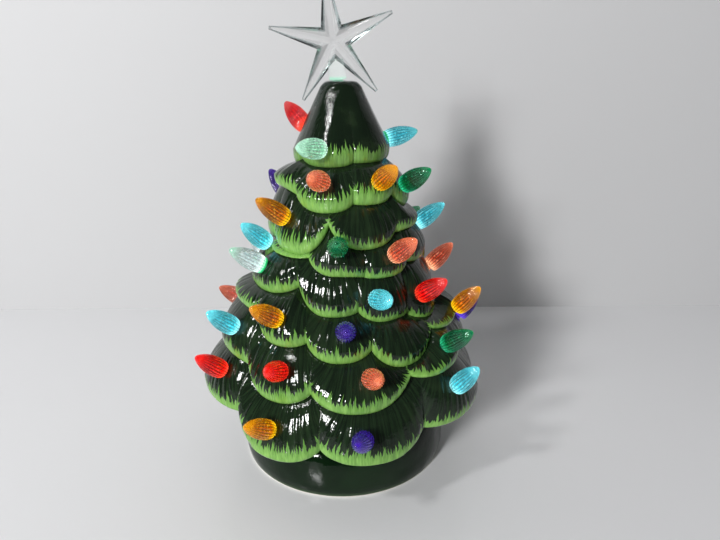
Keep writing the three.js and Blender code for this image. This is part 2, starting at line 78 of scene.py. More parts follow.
# Reach and height of each tier's hem, then its boughs: azimuth of the left notch, hem height and
# reach against the tier's, rise of that notch
TIERS = [
    (28, 183, [(-60, 0.5, 0, 2), (15, 2.5, 1, 0), (75, 1, 0, 2), (130, 1, 0, 2), (205, -1, 0, 2)]),
    (38.5, 163, [(-90, 9, 1, 3), (-45, -2, 0, -4), (10, 2, 0.5, 0.5), (50, -3, 1, 4),
                 (95, 0, 0, 2), (140, -1, 0, 2), (185, 2, 0, 2), (230, -7, 0, 2)]),
    (44, 141, [(-65, -2.5, 2, 3), (-10, 1.5, 1, 13), (45, 8.5, 2, -1.5), (80, -7, 1, 3),
               (125, -2, 0, 2), (165, 1, 0, 2), (210, 2, 0, 3), (250, 0, 0, 2)]),
    (49.5, 129, [(-65, 8, -2.5, -1), (-25, 0.5, 0, 0.5), (15, -1.5, 2, -2), (50, 1, 0.5, 2),
                 (90, -14, 4, 2), (130, -3, 0, 2), (170, 0, 0, 2), (215, 0, 0, 2),
                 (255, -9, 2, 2)]),
    (54.5, 105, [(-85, 11.5, 2, 2), (-30, 2, -2.5, 5.5), (10, -1.5, 0.5, 1.5),
                 (45, -6.5, 5.5, -1.5), (75, 0.5, 0, 3), (110, 0, 0, 2), (145, 3, 0, 2),
                 (185, 5, 0, 2), (230, 3, 0, 2)]),
    (65.5, 90, [(-90, 17, 0, 2), (-50, 2.5, 0.5, -2.5), (-20, -4.5, -1.5, 2), (15, -9, 3, 5),
                (50, 2, 4.5, 4), (100, 2, 0, 2), (140, -2, 0, 2), (180, 1, 0, 2),
                (225, -10, 0, 2)]),
    (75, 66, [(-85, 14, 1, 2), (-50, -2.5, 0, -4.5), (-15, -3.5, 2, 6.5), (30, 10, 4.5, 1.5),
              (65, 6, 0.5, 2), (105, 0, 0, 2), (150, -3, 0, 2), (195, 3, 0, 2), (240, 6, 0, 2)]),
    (84.5, 38, [(-95, 13, 3, 2), (-50, -4.5, -0.5, -2), (-10, -4, -2, 6.5), (35, 8, 3.5, -1),
                (80, 4, 0, 2), (120, 0, 0, 2), (155, -2, 0, 2), (195, 2, 0, 2), (230, 7, 0, 2)]),
]

# Width of the light green paint along each tier's hem, at these azimuths
PAINT_AZIMUTHS = (-180, -80, -35, 0, 35, 80, 180)
PAINT_WIDTHS = [
    (9, 10, 13, 13, 12, 9, 9), (9, 8, 12, 13, 12, 9, 9), (9, 13, 14, 8, 7, 8, 9),
    (9, 10, 9, 8, 7, 8, 9), (9, 10, 10, 9, 7, 8, 9), (9, 10, 11, 11, 9, 8, 9),
    (9, 10, 12, 12, 10, 8, 9), (9, 11, 13, 13, 10, 8, 9),
]

AZ = np.arange(COLUMNS) * 360.0 / COLUMNS


def new_object(name, vertices, faces, material, smooth=True):
    mesh = bpy.data.meshes.new(name)
    mesh.from_pydata((np.asarray(vertices, float) * MM).tolist(), [], faces)
    mesh.validate()
    mesh.polygons.foreach_set("use_smooth", [smooth] * len(mesh.polygons))
    obj = bpy.data.objects.new(name, mesh)
    bpy.context.scene.collection.objects.link(obj)
    if material:
        mesh.materials.append(material)
    return obj


def face_outwards(obj):
    bm = bmesh.new()
    bm.from_mesh(obj.data)
    if bm.calc_volume(signed=True) < 0:
        bmesh.ops.reverse_faces(bm, faces=bm.faces)
    bm.to_mesh(obj.data)
    bm.free()


# Tree surface

def boughs_of(tier):
    """Hem height, reach, position across the bough and its number at every azimuth of a tier."""
    reach, hem, boughs = TIERS[tier]
    starts = np.array([b[0] for b in boughs], float)
    ends = np.append(starts[1:], starts[0] + 360)
    hems = np.array([hem + b[1] for b in boughs], float)
    reaches = np.array([reach + b[2] for b in boughs], float)
    clefts = np.array([b[3] for b in boughs], float)
    here = starts[0] + (AZ - starts[0]) % 360
    i = np.clip(np.searchsorted(starts, here + 1e-6, side="right") - 1, 0, len(boughs) - 1)
    middle = (starts[i] + ends[i]) / 2
    half = (ends[i] - starts[i]) / 2
    left = here < middle
    beside = np.where(left, (i - 1) % len(boughs), (i + 1) % len(boughs))
    cleft = np.where(left, clefts[i], clefts[(i + 1) % len(boughs)])
    side = (here - middle) / half
    across = np.minimum(1, np.abs(side))
    bow = (1 - across ** SCALLOP) ** 0.8
    notch_hem = np.maximum(hems[i], hems[beside]) + cleft
    notch_reach = np.minimum(reaches[i], reaches[beside]) * (1 - NOTCH_DEPTH)
    return {
        "hem": notch_hem + (hems[i] - notch_hem) * bow,
        "reach": notch_reach + (reaches[i] - notch_reach) * bow,
        "side": side, "half": np.radians(half) * reaches[i], "bough": i,
    }


tiers = [boughs_of(t) for t in range(len(TIERS))]
for t, tier in enumerate(tiers):
    if t == 0:
        tier["neck_r"] = np.full(COLUMNS, CAP_RADIUS + CAP_EDGE)
        tier["neck_z"] = np.full(COLUMNS, CAP_HEIGHT - CAP_ROUND)
        room = CAP_HEIGHT - tier["hem"]
    else:
        above = tiers[t - 1]
        tier["neck_r"] = above["reach"] - LIP_TUCK - RECESS
        tier["neck_z"] = above["hem"] + RECESS_RISE
        room = above["hem"] - tier["hem"]
    tier["nose"] = tier["hem"] + np.minimum(LIP, room / 2)

# Brushed needle grooves: each bough has its own set, fanned out from its neck to its hem. Broad
# ones run down the face, and fine ones only near the hem.
BROAD = dict(step=5.0, width=0.30, depth=(0.15, 0.75), start=(0.0, 0.45), keep=0.8, seed=0)
FINE = dict(step=2.3, width=0.27, depth=(0.03, 0.16), start=(0.35, 0.7), keep=0.85, seed=977)
for kind in (BROAD, FINE):
    kind["depths"] = rng.uniform(*kind["depth"], 4096) * (rng.random(4096) < kind["keep"])
    kind["starts"] = rng.uniform(*kind["start"], 4096)


def fan(tier, share):
    """How far round the bough a needle line lies, in mm along the hem; the lines spread downwards."""
    return tier["side"] / (0.62 + 0.38 * share) * tier["half"]


def groove_depth(t, tier, share, kind):
    """Depth of one set of grooves in mm at a share of the way down the face."""
    line = fan(tier, share)
    number = tier["bough"]
    wave = np.sin(share * 3.2 + number * 1.9 + t) * 0.4 + np.sin(line * 0.21 + share * 2.4 + t) * 0.6
    phase = line / kind["step"] + wave * 0.4 + number * 37.0 + 400.0
    nearest = np.round(phase)
    off = (phase - nearest) / kind["width"]
    table = (nearest.astype(int) * 7919 + t * 104729 + kind["seed"]) % 4096
    ramp = np.clip((share - kind["starts"][table]) / 0.25, 0, 1)
    ramp = ramp * ramp * (3 - 2 * ramp)
    edge = np.clip((1.03 - np.abs(tier["side"]) / (0.62 + 0.38 * share)) / 0.08, 0, 1)
    return kind["depths"][table] * np.exp(-off * off * 2.0) * ramp * edge


def face_rows(t, tier):
    """Rows of (radius, height, share, fan, inner) down one tier, from its neck to its hem. The share
    runs from 0 to 1 down the face and from 1 to 2 round the hem."""
    rows = []
    puff = 0.0 if t == 0 else PUFF
    shares = np.concatenate([np.linspace(0.07 if t == 0 else 0, 0.85, 21), np.linspace(0.9, 1, 4)])
    for share in shares:
        angle = share * math.pi / 2
        out = (1 - puff) * share + puff * math.sin(angle)
        down = (1 - puff) * share + puff * (1 - math.cos(angle))
        radius = tier["neck_r"] + (tier["reach"] - tier["neck_r"]) * out
        height = tier["neck_z"] - (tier["neck_z"] - tier["nose"]) * down
        cap = 0.5 * min(1.0, max(0.0, (share - 0.6) / 0.4)) if t == 0 else 1.0
        radius = radius - groove_depth(t, tier, share, BROAD) * cap * 0.7
        radius = radius - groove_depth(t, tier, share, FINE) * cap
        rows.append((radius, height, share, fan(tier, share), 0.0))
    inset = LIP_TUCK + HEM_INSET
    broad, fine = groove_depth(t, tier, 1.0, BROAD), groove_depth(t, tier, 1.0, FINE)
    for k in range(1, 9):
        angle = k / 8 * math.pi / 2
        radius = tier["reach"] - inset * (1 - math.cos(angle)) ** 1.3
        height = tier["nose"] - (tier["nose"] - tier["hem"]) * math.sin(angle)
        fade = math.cos(angle) ** 2.0 * (0.5 if t == 0 else 1.0)
        radius = radius - (broad * 0.7 + fine) * fade
        rows.append((radius, height, 1.0 + k / 8, fan(tier, 1.0), 0.0))
    return rows


def rolling_least(values, reach):
    return np.min([np.roll(values, k) for k in range(-reach, reach + 1)], axis=0)


def tree_rows():
    """All rows of the tree, from the star's hole down the outside and back up the inside. Rows off
    the boughs' faces have a share below 0, and inner is 1 where the ware is bare."""
    flat = np.zeros(COLUMNS)
    rows = []

    def ring(radius, height, inner=0.0):
        rows.append((flat + radius, flat + height, -1.0, AZ * 0.3, inner))

    ring(STAR_HOLE, CAP_HEIGHT - 3, 1.0)
    ring(STAR_HOLE + 0.1, CAP_HEIGHT - 0.7)
    ring(STAR_HOLE + 0.5, CAP_HEIGHT - 0.25)
    ring(STAR_HOLE + 1.2, CAP_HEIGHT - 0.1)
    # the cap's rounded shoulder, from its flat to the slope
    edge_r, edge_z = CAP_RADIUS + CAP_EDGE, CAP_HEIGHT - CAP_ROUND
    slope = (tiers[0]["reach"][0] - edge_r) / (edge_z - tiers[0]["nose"][0])
    flat_r, end_z = CAP_RADIUS - 2.6, edge_z - 2.0
    peak = (edge_r - CAP_ROUND * slope, CAP_HEIGHT - 0.05)
    for k in range(9):
        u = k / 9
        ring(flat_r * (1 - u) ** 2 + peak[0] * 2 * u * (1 - u) + (edge_r + 2.0 * slope) * u * u,
             peak[1] * (1 - u * u) + end_z * u * u)
    for t, tier in enumerate(tiers):
        rows.extend(face_rows(t, tier))
        r, z = tier["reach"] - LIP_TUCK - HEM_INSET, tier["hem"]
        nr, nz = tier["reach"] - LIP_TUCK - RECESS, tier["hem"] + RECESS_RISE
        for k in (0.35, 0.7):
            rows.append((r + (nr - r) * k, z + (nz - z) * k ** 1.6, -1.0 - k, fan(tier, 1.0), 0.0))
    last = tiers[-1]
    rows.append((last["reach"] - LIP_TUCK - RECESS, last["hem"] + RECESS_RISE, -2.0, fan(last, 1), 0.0))
    ring(SEAT_RADIUS + SKIRT, SEAT_HEIGHT + WALL)
    ring(SEAT_RADIUS + 0.8, SEAT_HEIGHT + 1.2)
    ring(SEAT_RADIUS, SEAT_HEIGHT + 0.3)
    ring(SEAT_RADIUS - 0.8, SEAT_HEIGHT, 1.0)
    ring(TREE_MOUTH + 0.8, SEAT_HEIGHT, 1.0)
    ring(TREE_MOUTH, SEAT_HEIGHT + 0.8, 1.0)
    ring(TREE_MOUTH, SEAT_HEIGHT + WALL * 2, 1.0)
    around = round(5 * COLUMNS / 360)
    hollow = [(flat + CAP_RADIUS - WALL, flat + CAP_HEIGHT - CAP_ROOF)]
    for t, tier in enumerate(tiers):
        hollow.append((rolling_least(tier["reach"], around) - WALL, tier["nose"]))
        neck_r = rolling_least(tier["reach"] - LIP_TUCK - RECESS, around) - WALL
        neck_z = tier["hem"] + RECESS_RISE
        hollow.append((neck_r, neck_z + (WALL if t == len(tiers) - 1 else 0)))
    for r, z in reversed(hollow):
        rows.append((r, z, -3.0, AZ * 0.3, 1.0))
    ring(STAR_HOLE, CAP_HEIGHT - CAP_ROOF, 1.0)
    return rows


def build_tree(material):
    rows = tree_rows()
    radius = np.array([r[0] for r in rows])
    height = np.array([r[1] for r in rows])
    share = np.array([np.full(COLUMNS, r[2]) for r in rows])
    line = np.array([r[3] for r in rows])
    inner = np.array([np.full(COLUMNS, r[4]) for r in rows])
    a = np.radians(AZ)
    # slow unevenness of hand-poured ware, never outwards
    waves = np.sin(a * 5 + height * 0.05) + np.sin(a * 9 - height * 0.11 + 1.3)
    wander = waves * WANDER - WANDER_INSET
    outside = (inner < 0.5) & (share > -1.5) & (height > SEAT_HEIGHT + 6) & (radius > 12)
    radius = radius + np.where(outside, wander, 0)
    x, y = radius * np.sin(a), -radius * np.cos(a)
    hole = np.clip((8.0 - radius) / (8.0 - STAR_HOLE), 0, 1) * (height > CAP_HEIGHT - CAP_ROOF - 0.1)
    x = x + STAR_OFFSET * hole
    points = np.stack([x, y, height], 2)
    # distance above the hem along each column of a tier
    above = np.full(radius.shape, 99.0)
    shares = np.array([r[2] for r in rows])
    hems = np.where(np.isclose(shares, 2.0))[0]
    for h in hems:
        total = np.zeros(COLUMNS)
        above[h] = 0
        k = h - 1
        while k >= 0 and shares[k] >= 0:
            total = total + np.linalg.norm(points[k] - points[k + 1], axis=1)
            above[k] = total
            k -= 1
        total = np.zeros(COLUMNS)
        for k in (h + 1, h + 2):
            total = total + np.linalg.norm(points[k] - points[k - 1], axis=1)
            above[k] = -total
    count = len(rows)
    faces = []
    for m in range(count):
        n = (m + 1) % count
        for c in range(COLUMNS):
            d = (c + 1) % COLUMNS
            faces.append((m * COLUMNS + c, m * COLUMNS + d, n * COLUMNS + d, n * COLUMNS + c))
    obj = new_object("glazed_tree", points.reshape(-1, 3), faces, material)
    face_outwards(obj)
    tier_number = np.zeros(radius.shape)
    paint = np.zeros(radius.shape)
    around = (AZ + 180) % 360 - 180
    t = -1
    for m, s in enumerate(shares):
        if s >= 0 and (m == 0 or shares[m - 1] < 0):
            t += 1
        tier_number[m] = max(t, 0)
        paint[m] = np.interp(around, PAINT_AZIMUTHS, PAINT_WIDTHS[max(t, 0)])
    for name, values in (("above_hem", above), ("fan", line), ("bare", inner),
                         ("tier", tier_number), ("paint", paint)):
        layer = obj.data.attributes.new(name, "FLOAT", "POINT")
        layer.data.foreach_set("value", values.reshape(-1).astype(np.float32))
    return obj


# Materials

class Graph:
    """Short names for building a material's nodes."""

    def __init__(self, name):
        self.mat = bpy.data.materials.new(name)
        self.mat.use_nodes = True
        self.nodes = self.mat.node_tree.nodes
        self.links = self.mat.node_tree.links
        self.shader = self.nodes["Principled BSDF"]

    def node(self, kind, **settings):
        node = self.nodes.new(kind)
        for key, value in settings.items():
            setattr(node, key, value)
        return node

    def put(self, socket, value):
        if isinstance(value, bpy.types.NodeSocket):
            self.links.new(value, socket)
        elif value is not None:
            socket.default_value = value

    def math(self, operation, a, b=None, c=None, clamp=False):
        node = self.node("ShaderNodeMath", operation=operation, use_clamp=clamp)
        for socket, value in zip(node.inputs, (a, b, c)):
            self.put(socket, value)
        return node.outputs[0]

    def value_of(self, attribute):
        return self.node("ShaderNodeAttribute", attribute_name=attribute).outputs["Fac"]

    def combine(self, x, y, z):
        node = self.node("ShaderNodeCombineXYZ")
        for socket, value in zip(node.inputs, (x, y, z)):
            self.put(socket, value)
        return node.outputs[0]

    def noise(self, vector, scale, detail=2.0, rough=0.5):
        node = self.node("ShaderNodeTexNoise")
        self.put(node.inputs["Vector"], vector)
        self.put(node.inputs["Scale"], scale)
        self.put(node.inputs["Detail"], detail)
        self.put(node.inputs["Roughness"], rough)
        return node.outputs["Fac"]

    def times(self, a, b):
        return self.math("MULTIPLY", a, b)

    def plus(self, a, b):
        return self.math("ADD", a, b)

    def step(self, value, low, high):
        node = self.node("ShaderNodeMapRange", interpolation_type="SMOOTHSTEP")
        self.put(node.inputs["Value"], value)
        self.put(node.inputs["From Min"], low)
        self.put(node.inputs["From Max"], high)
        return node.outputs["Result"]

    def mix(self, share, a, b):
        node = self.node("ShaderNodeMix", data_type="RGBA")
        self.put(node.inputs["Factor"], share)
        self.put(node.inputs[6], a)
        self.put(node.inputs[7], b)
        return node.outputs[2]

    def object_place(self):
        return self.node("ShaderNodeTexCoord").outputs["Object"]

    def bump(self, height, distance, strength=1.0, normal=None):
        node = self.node("ShaderNodeBump")
        node.inputs["Distance"].default_value = distance
        node.inputs["Strength"].default_value = strength
        self.put(node.inputs["Height"], height)
        if normal is not None:
            self.put(node.inputs["Normal"], normal)
        return node.outputs[0]

    def set(self, **values):
        for key, value in values.items():
            self.put(self.shader.inputs[key.replace("_", " ")], value)
        return self.mat


def tree_glaze():
    g = Graph("tree_glaze")
    above = g.value_of("above_hem")
    line = g.value_of("fan")
    tier = g.value_of("tier")
    bare = g.value_of("bare")
    place = g.object_place()
    # light green paint along each hem, brushed upwards into blades of uneven height
    paint_width = g.value_of("paint")
    wobble = g.times(g.noise(g.combine(line, tier, above), 0.3, 2.0), 1.6)
    shifted = g.plus(line, wobble)

    def blades(step, low, tall, seed):
        along = g.math("DIVIDE", g.plus(shifted, g.times(tier, 17.3)), step)
        number = g.math("FLOOR", g.plus(along, seed))
        part = g.math("FRACT", g.plus(along, seed))
        pick = g.node("ShaderNodeTexWhiteNoise", noise_dimensions="1D")
        g.put(pick.inputs["W"], number)
        centred = g.math("SUBTRACT", g.times(part, 2.0), 1.0)
        point = g.math("SUBTRACT", 1.0, g.math("ABSOLUTE", centred))
        height = g.plus(low, g.times(pick.outputs["Value"], tall))
        return g.times(g.math("POWER", point, 0.9), height)

    reach = g.math("MAXIMUM", blades(2.3, 0.9, 4.4, 0.0), blades(1.5, 0.3, 4.4, 0.37))
    slow = g.noise(g.combine(line, g.times(tier, 3.1), 0.0), 0.12, 1.0)
    body = g.times(paint_width, g.plus(0.36, g.times(slow, 0.30)))
    limit = g.plus(body, g.times(reach, g.times(paint_width, 0.14)))
    light = g.times(g.step(g.math("SUBTRACT", limit, above), -0.35, 0.55),
                    g.step(above, -3.8, -2.4))
    # dark glaze, streaked along the needles
    streak = g.noise(g.combine(line, tier, g.times(above, 0.06)), 0.55, 3.0, 0.6)
    cloud = g.noise(place, 60.0, 2.0)
    streak = g.times(g.step(streak, 0.35, 0.75), g.step(tier, -0.3, 1.0))
    dark = g.mix(streak, (0.005, 0.011, 0.005, 1), (0.014, 0.030, 0.012, 1))
    dark = g.mix(g.times(g.step(cloud, 0.5, 0.8), 0.35), dark, (0.028, 0.05, 0.02, 1))
    brush = g.noise(g.combine(line, tier, g.times(above, 0.14)), 0.9, 3.0, 0.6)
    paint = g.mix(g.step(brush, 0.3, 0.7), (0.15, 0.34, 0.062, 1), (0.25, 0.49, 0.105, 1))
    rise = g.step(g.math("DIVIDE", above, g.plus(body, 0.5)), 0.55, 1.5)
    paint = g.mix(g.times(rise, 0.6), paint, (0.085, 0.225, 0.04, 1))
    strokes = g.noise(g.combine(line, tier, g.times(above, 0.09)), 1.9, 2.0, 0.55)
    strokes = g.times(g.step(strokes, 0.54, 0.66), g.plus(0.2, g.times(rise, 0.5)))
    strokes = g.times(strokes, g.step(tier, -0.6, 1.0))
    paint = g.mix(strokes, paint, (0.05, 0.13, 0.025, 1))
    # the top tier's paint is darker
    top_paint = g.mix(g.step(brush, 0.25, 0.75), (0.10, 0.21, 0.045, 1), (0.17, 0.36, 0.075, 1))
    paint = g.mix(g.step(tier, 1.0, 0.0), paint, top_paint)
    glaze = g.mix(light, dark, paint)
    biscuit = g.mix(g.noise(place, 350.0, 2.0), (0.74, 0.70, 0.62, 1), (0.82, 0.79, 0.72, 1))
    colour = g.mix(bare, glaze, biscuit)
    # uneven glaze: slow sags, small mottles that break up highlights, and faint brush lines
    sags = g.noise(place, 90.0, 1.0)
    mottle = g.noise(place, 420.0, 2.0, 0.55)
    needles = g.noise(g.combine(line, tier, g.times(above, 0.05)), 0.9, 2.0, 0.5)
    normal = g.bump(needles, 0.00022, 0.35)
    normal = g.bump(sags, 0.0008, 0.35, normal)
    normal = g.bump(mottle, 0.00026, 0.6, normal)
    normal = g.bump(g.noise(place, 900.0, 2.0), 0.00005, 0.6, normal)
    rough = g.plus(0.06, g.times(bare, 0.6))
    return g.set(Base_Color=colour, Roughness=rough, Normal=normal, IOR=1.42)


def base_glaze():
    g = Graph("base_glaze")
    place = g.object_place()
    height = g.node("ShaderNodeSeparateXYZ")
    g.put(height.inputs[0], place)
    z = height.outputs["Z"]
    # the foot is bare biscuit up to a wavy line, and the glaze is thin just above it
    uneven = g.math("SUBTRACT", g.noise(place, 70.0, 2.0), 0.5)
    foot = g.plus(z, g.times(uneven, 0.0006))
    bare = g.math("MAXIMUM", g.step(foot, 0.0012, 0.0008), g.value_of("bare"))
    cloud = g.noise(place, 45.0, 3.0)
    glaze = g.mix(g.step(cloud, 0.35, 0.7), (0.0015, 0.009, 0.002, 1), (0.004, 0.017, 0.004, 1))
    thin = g.step(foot, 0.004, 0.001)
    glaze = g.mix(g.times(thin, 0.6), glaze, (0.05, 0.09, 0.04, 1))
    biscuit = g.mix(g.noise(place, 350.0, 2.0), (0.70, 0.67, 0.60, 1), (0.80, 0.77, 0.70, 1))
    colour = g.mix(bare, glaze, biscuit)
    normal = g.bump(g.noise(place, 65.0, 1.0), 0.0012, 0.6)
    normal = g.bump(g.noise(place, 420.0, 2.0), 0.00012, 0.6, normal)
    rough = g.plus(0.05, g.times(bare, 0.62))
    return g.set(Base_Color=colour, Roughness=rough, Normal=normal, IOR=1.37)


def clear_plastic(name, colour, transmission, roughness, glow=0.0, swirls=0.28):
    g = Graph(name)
    place = g.object_place()
    swirl = g.noise(place, 260.0, 2.0)
    deep = tuple(c * (1 - swirls) for c in colour) + (1,)
    tint = g.mix(swirl, deep, tuple(colour) + (1,))
    normal = g.bump(g.noise(place, 1200.0, 2.0), 0.00004, 0.5)
    mat = g.set(Base_Color=tint, Roughness=roughness, Transmission_Weight=transmission, IOR=1.49,
                Normal=normal)
    if glow:
        g.put(g.shader.inputs["Emission Color"], tuple(colour) + (1,))
        g.shader.inputs["Emission Strength"].default_value = glow
    return mat


def stem_plastic():
    """Clear plastic with a painted glow, greener at the foot: painted light, as if gathered from the
    glaze below.
    """
    g = Graph("stem_clear")
    place = g.object_place()
    height = g.node("ShaderNodeSeparateXYZ")
    g.put(height.inputs[0], place)
    wavy = g.plus(height.outputs["Z"], g.times(g.noise(place, 400.0, 2.0), 0.0008))
    foot = g.times(g.step(wavy, (CAP_HEIGHT + 3.2) * MM, (CAP_HEIGHT + 1.4) * MM),
                   g.step(wavy, (CAP_HEIGHT - 1.5) * MM, CAP_HEIGHT * MM))
    tint = g.mix(foot, (0.95, 0.99, 0.97, 1), (0.52, 0.92, 0.72, 1))
    # painted glow: the stem glows faintly in its tint, more at the painted green foot
    g.put(g.shader.inputs["Emission Color"], tint)
    g.put(g.shader.inputs["Emission Strength"], g.plus(0.06, g.times(foot, 0.1)))
    return g.set(Base_Color=tint, Roughness=0.14, Transmission_Weight=0.93, IOR=1.3,
                 Normal=g.bump(g.noise(place, 900.0, 2.0), 0.00006, 0.5))


def plastic(name, colour, roughness):
    """Moulded plastic with a fine grain and slow changes of shade."""
    g = Graph(name)
    place = g.object_place()
    spots = g.noise(place, 1500.0, 3.0, 0.6)
    slow = g.noise(place, 70.0, 2.0)
    light = tuple(min(1, c * 1.12 + 0.004) for c in colour) + (1,)
    tint = g.mix(slow, tuple(c * 0.9 for c in colour) + (1,), light)
    rough = g.plus(roughness - 0.06, g.times(spots, 0.12))
    return g.set(Base_Color=tint, Roughness=rough, Normal=g.bump(spots, 0.00006, 0.8), IOR=1.49)


def metal(name, colour, roughness):
    g = Graph(name)
    place = g.object_place()
    mapping = g.node("ShaderNodeMapping")
    mapping.inputs["Scale"].default_value = (1.0, 14.0, 1.0)
    g.put(mapping.inputs["Vector"], place)
    scratches = g.noise(mapping.outputs[0], 900.0, 3.0, 0.6)
    tint = g.mix(scratches, tuple(c * 0.82 for c in colour) + (1,), tuple(colour) + (1,))
    rough = g.plus(roughness - 0.05, g.times(scratches, 0.14))
    return g.set(Base_Color=tint, Roughness=rough, Metallic=1.0,
                 Normal=g.bump(scratches, 0.00003, 0.6))


# Turned pieces

def softened(pairs, amount, closed=False):
    """A profile with each corner replaced by a small arc."""
    points = [np.array(p, float) for p in pairs]
    count = len(points)
    out = []
    for i, p in enumerate(points):
        if not closed and i in (0, count - 1):
            out.append(p)
            continue
        before, after = points[i - 1], points[(i + 1) % count]
        la, lb = np.linalg.norm(before - p), np.linalg.norm(after - p)
        cut = min(amount, la * 0.45, lb * 0.45)
        a, b = p + (before - p) * cut / la, p + (after - p) * cut / lb
        for s in (0, 0.25, 0.5, 0.75, 1):
            out.append(a * (1 - s) ** 2 + p * 2 * s * (1 - s) + b * s ** 2)
    return out


def band(faces, low, high):
    """Adds the faces between two rings of vertices. Either may be a single point."""
    count = max(len(low), len(high))
    for k in range(count):
        n = (k + 1) % count
        if len(low) > 1 and len(high) > 1:
            faces.append((low[k], low[n], high[n], high[k]))
        elif len(high) > 1:
            faces.append((low[0], high[n], high[k]))
        elif len(low) > 1:
            faces.append((low[k], low[n], high[0]))


def turned(name, profile, sides, mat, closed=False, bare_from=None):
    """A turned piece about Z. An open profile starts and ends on the axis. Rings from number
    bare_from on are marked as unglazed."""
    profile = [tuple(p) for p in profile]
    vertices, faces, rings = [], [], []
    for radius, height in profile:
        if radius < 1e-6:
            rings.append([len(vertices)])
            vertices.append((0, 0, height))
        else:
            rings.append(list(range(len(vertices), len(vertices) + sides)))
            for k in range(sides):
                a = 2 * math.pi * k / sides
                vertices.append((radius * math.sin(a), -radius * math.cos(a), height))
    pairs = list(zip(rings, rings[1:])) + ([(rings[-1], rings[0])] if closed else [])
    for low, high in pairs:
        band(faces, low, high)
    obj = new_object(name, vertices, faces, mat)
    face_outwards(obj)
    if bare_from is not None:
        layer = obj.data.attributes.new("bare", "FLOAT", "POINT")
        values = []
        for i, ring in enumerate(rings):
            values += [1.0 if i >= bare_from else 0.0] * len(ring)
        layer.data.foreach_set("value", values)
    return obj


# Bulbs

BULB_LENGTH = 21.0
BULB_RADIUS = 6.0
PEG_RADIUS = 2.0
PEG_LENGTH = 9.0
FLUTES = 20
FLUTE_DEPTH = 0.55
BULB_SLIMMING = 0.93
BULB_TIP = 0.985
FACET_TURN = 0.157

# Shares of a bulb's length and radius from its seat to its tip, and the strength of the flutes
FLAME = [(0.0, 0.70, 0.2), (0.008, 0.775, 0.55), (0.025, 0.835, 0.85), (0.055, 0.885, 1),
         (0.10, 0.93, 1), (0.16, 0.965, 1), (0.23, 0.99, 1), (0.31, 1.0, 1), (0.39, 0.99, 1),
         (0.47, 0.955, 1), (0.55, 0.90, 1), (0.63, 0.82, 0.95), (0.70, 0.735, 0.9),
         (0.77, 0.63, 0.8), (0.83, 0.52, 0.65), (0.88, 0.415, 0.48), (0.92, 0.32, 0.3),
         (0.955, 0.225, 0.12), (0.97, 0.14, 0), (0.983, 0.07, 0)]

# The same shares along the faceted hollow inside, and where it starts and ends
HOLLOW = [(0.07, 0.50), (0.16, 0.60), (0.27, 0.50), (0.36, 0.52), (0.47, 0.36), (0.56, 0.33),
          (0.66, 0.14)]
HOLLOW_START = 0.055
HOLLOW_END = 0.72


def bulb_mesh(name):
    """A flame bulb on its peg, seat at the origin, tip up +Z: deep flutes that die at the tip, and
    a faceted hollow inside that breaks up the light."""
    sides = FLUTES * 8
    angles = np.arange(sides) * 2 * math.pi / sides
    ridge = np.abs(np.cos(angles * FLUTES / 2)) ** 0.7
    vertices, faces, valleys = [], [], []

    def ring(radius, height, around, valley=0.0):
        start = len(vertices)
        radii = np.broadcast_to(radius, around.shape)
        valleys.extend(np.broadcast_to(valley, around.shape))
        vertices.extend((r * math.cos(a), r * math.sin(a), height) for a, r in zip(around, radii))
        return list(range(start, len(vertices)))

    def point(height):
        valleys.append(0.0)
        vertices.append((0, 0, height))
        return [len(vertices) - 1]

    def skin(rings):
        for low, high in zip(rings, rings[1:]):
            band(faces, low, high)

    rings = [point(-PEG_LENGTH)]
    for width, height in ((0.75, -PEG_LENGTH), (0.95, 0.4 - PEG_LENGTH), (0.97, -0.5), (1.05, -0.02)):
        rings.append(ring(PEG_RADIUS * width, height, angles))
    for along, width, fluted in FLAME:
        base = BULB_RADIUS * width * BULB_SLIMMING
        rings.append(ring(base - (1 - ridge) * FLUTE_DEPTH * fluted, along * BULB_LENGTH, angles,
                          (1 - ridge) * fluted))
    rings.append(point(BULB_LENGTH * BULB_TIP))
    skin(rings)
    smooth = len(faces)
    facets = np.arange(FLUTES) * 2 * math.pi / FLUTES
    inside = [ring(BULB_RADIUS * width, along * BULB_LENGTH, facets + FACET_TURN * (i % 2))
              for i, (along, width) in enumerate(HOLLOW)]
    inside = [point(HOLLOW_START * BULB_LENGTH)] + inside + [point(HOLLOW_END * BULB_LENGTH)]
    skin(inside)
    faces[smooth:] = [face[::-1] for face in faces[smooth:]]
    mesh = bpy.data.meshes.new(name)
    mesh.from_pydata((np.array(vertices) * MM).tolist(), [], faces)
    mesh.polygons.foreach_set("use_smooth", [i < smooth for i in range(len(faces))])
    for key, values in (("valley", valleys), ("along", [v[2] / BULB_LENGTH for v in vertices])):
        layer = mesh.attributes.new(key, "FLOAT", "POINT")
        layer.data.foreach_set("value", np.array(values, np.float32))
    return mesh


BULB_COLOURS = {
    "red": (0.96, 0.004, 0.012), "amber": (0.74, 0.24, 0.001), "aqua": (0.13, 0.75, 0.87),
    "green": (0.001, 0.19, 0.07), "purple": (0.065, 0.014, 0.29), "coral": (0.84, 0.17, 0.085),
    "clear": (0.88, 0.98, 0.98), "mint": (0.55, 0.92, 0.72),
}

# Painted light: the colour painted at the thick end and on the glints, where the light gathers
BULB_PAINTED_LIGHT = {
    "red": (0.98, 0.12, 0.05), "amber": (0.98, 0.74, 0.02), "aqua": (0.50, 0.95, 0.97),
    "green": (0.05, 0.62, 0.34), "purple": (0.20, 0.10, 0.80), "coral": (0.98, 0.60, 0.38),
    "clear": (0.88, 0.97, 0.96), "mint": (0.72, 0.95, 0.82),
}


